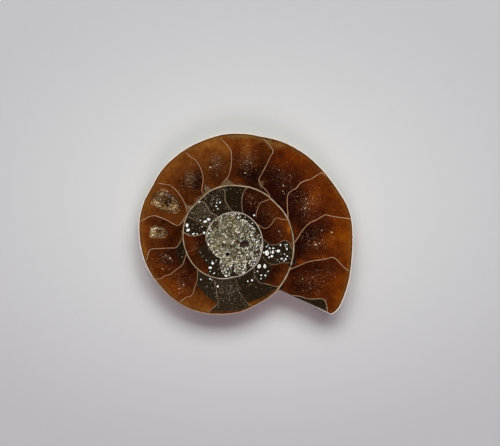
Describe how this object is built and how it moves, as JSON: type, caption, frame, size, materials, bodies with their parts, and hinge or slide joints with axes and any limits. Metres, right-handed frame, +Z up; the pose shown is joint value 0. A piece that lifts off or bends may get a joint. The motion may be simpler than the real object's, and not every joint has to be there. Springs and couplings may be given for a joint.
{
  "type": "ammonite fossil half",
  "caption": "Half of a sawn and polished fossil ammonite shell: flat chambered face up, domed ribbed flank below, broken straight across at its outer end.",
  "frame": {"origin": "centre of the fossil's box seen from above, on the surface that it lies on", "axes": "+Z up, out of the polished sawn face; +X along the longest extent, with the broken outer end towards +X -Y; +Y across it"},
  "size_m": [0.043, 0.0364, 0.0054],
  "materials": {
    "polished_fossil": "brown and amber calcite with pale shell walls, polished on the sawn face and waxy on the domed side",
    "pocket_crystals": "small glassy golden crystals"
  },
  "bodies": {
    "root": {"ammonite": "polished_fossil", "upper_pocket_crystals": "pocket_crystals", "lower_pocket_crystals": "pocket_crystals"}
  },
  "joints": []
}
